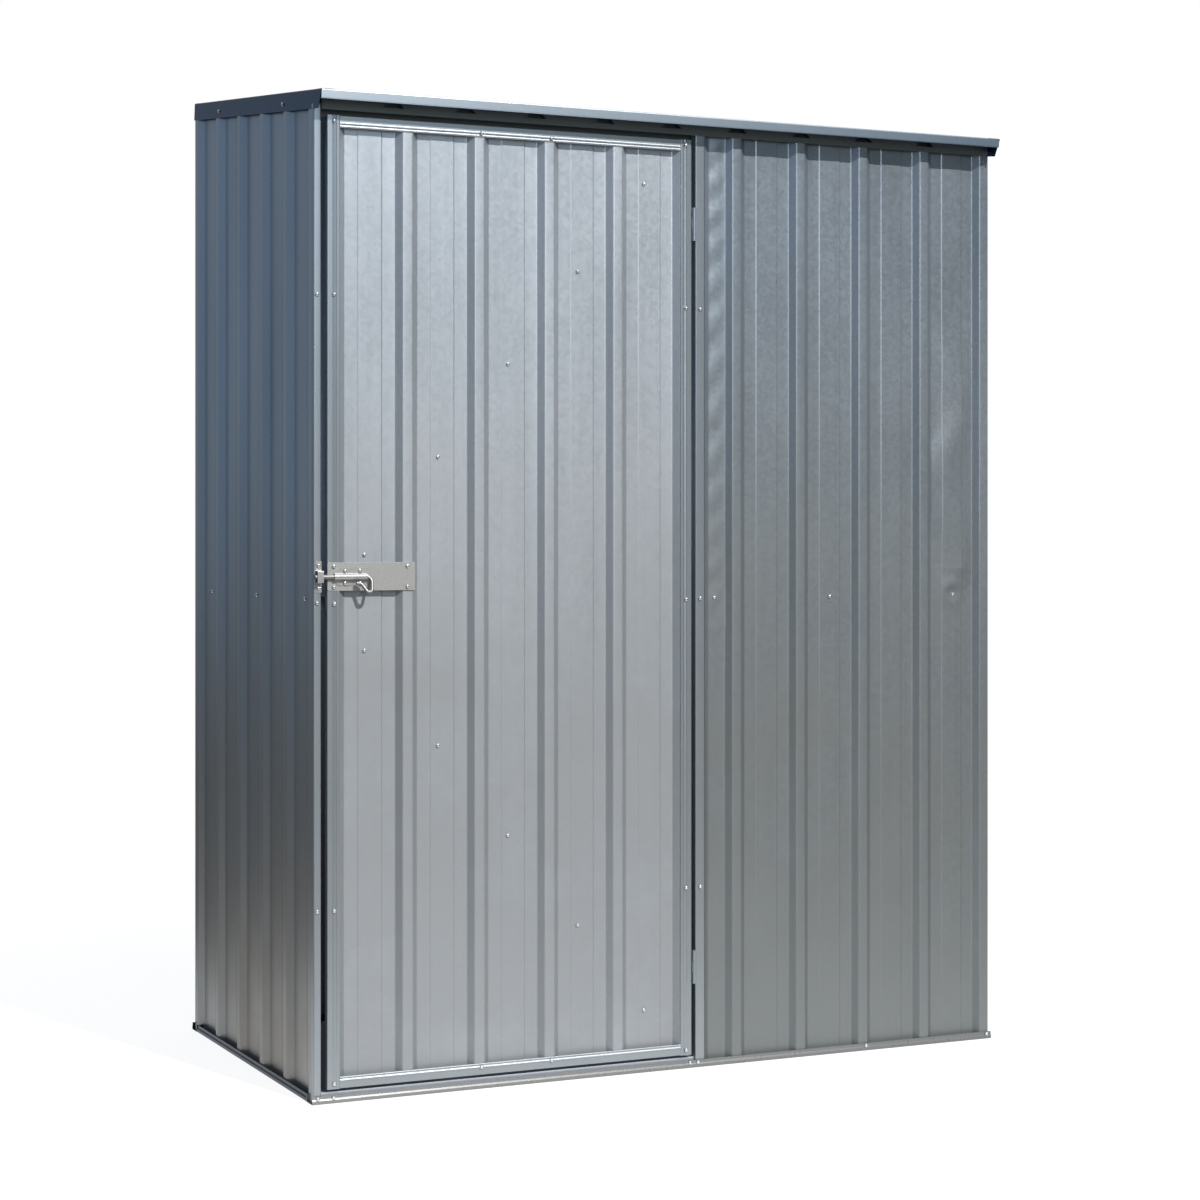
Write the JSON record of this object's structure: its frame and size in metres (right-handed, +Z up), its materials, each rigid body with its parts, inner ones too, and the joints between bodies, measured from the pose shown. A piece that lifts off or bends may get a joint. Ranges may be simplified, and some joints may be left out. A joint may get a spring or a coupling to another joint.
{
  "type": "metal tool shed",
  "caption": "Free-standing pent-roofed tool shed of ribbed galvanised sheet on a channel base, with one outward-opening hinged door and a sliding pad bolt.",
  "frame": {"origin": "on the ground, in the middle of the rectangle that the base and the roof's front edge cover", "axes": "+Z up, +Y from the door side to the rear, +X to the right as seen by someone facing the door"},
  "size_m": [1.51, 0.822, 1.988],
  "materials": {
    "ribbed_sheet": "galvanised roll-formed sheet, softly reflective",
    "folded_frame": "folded galvanised channel",
    "roof_trim": "folded galvanised trim",
    "zinc_latch": "zinc-plated pressed steel"
  },
  "bodies": {
    "shed": {"base_channel_front": "folded_frame", "base_channel_rear": "folded_frame", "base_channel_left": "folded_frame", "base_channel_right": "folded_frame", "door_sill": "folded_frame", "left_wall": "ribbed_sheet", "right_wall": "ribbed_sheet", "rear_wall": "ribbed_sheet", "front_wall": "ribbed_sheet", "front_left_post": "folded_frame", "front_right_post": "folded_frame", "rear_left_post": "folded_frame", "rear_right_post": "folded_frame", "hinge_jamb": "folded_frame", "front_header": "folded_frame", "rear_top_rail": "folded_frame", "left_top_rail": "folded_frame", "right_top_rail": "folded_frame", "left_mid_rail": "folded_frame", "right_mid_rail": "folded_frame", "rear_mid_rail": "folded_frame", "front_mid_rail": "folded_frame", "roof_sheet": "ribbed_sheet", "roof_front_fascia": "roof_trim", "roof_rear_trim": "roof_trim", "roof_left_flashing": "roof_trim", "roof_right_flashing": "roof_trim", "upper_hinge_frame_leaf": "folded_frame", "lower_hinge_frame_leaf": "folded_frame", "bolt_keeper": "zinc_latch"},
    "door": {"door_panel": "ribbed_sheet", "door_lock_stile": "folded_frame", "door_hinge_stile": "folded_frame", "door_top_rail": "folded_frame", "door_bottom_rail": "folded_frame", "door_upper_brace": "folded_frame", "door_lower_brace": "folded_frame", "upper_hinge_door_leaf": "folded_frame", "lower_hinge_door_leaf": "folded_frame", "latch_plate": "zinc_latch", "bolt_guide": "zinc_latch"},
    "bolt": {"latch_bolt": "zinc_latch"}
  },
  "joints": [
    {"name": "door_swing", "type": "hinge", "parent": "shed", "child": "door", "pos_m": [0.0488, -0.372, 0.9], "axis": [0, 0, 1], "range_deg": [0, 120]},
    {"name": "bolt_slide", "type": "slide", "parent": "door", "child": "bolt", "axis": [1, 0, 0], "range_m": [0, 0.045]}
  ]
}
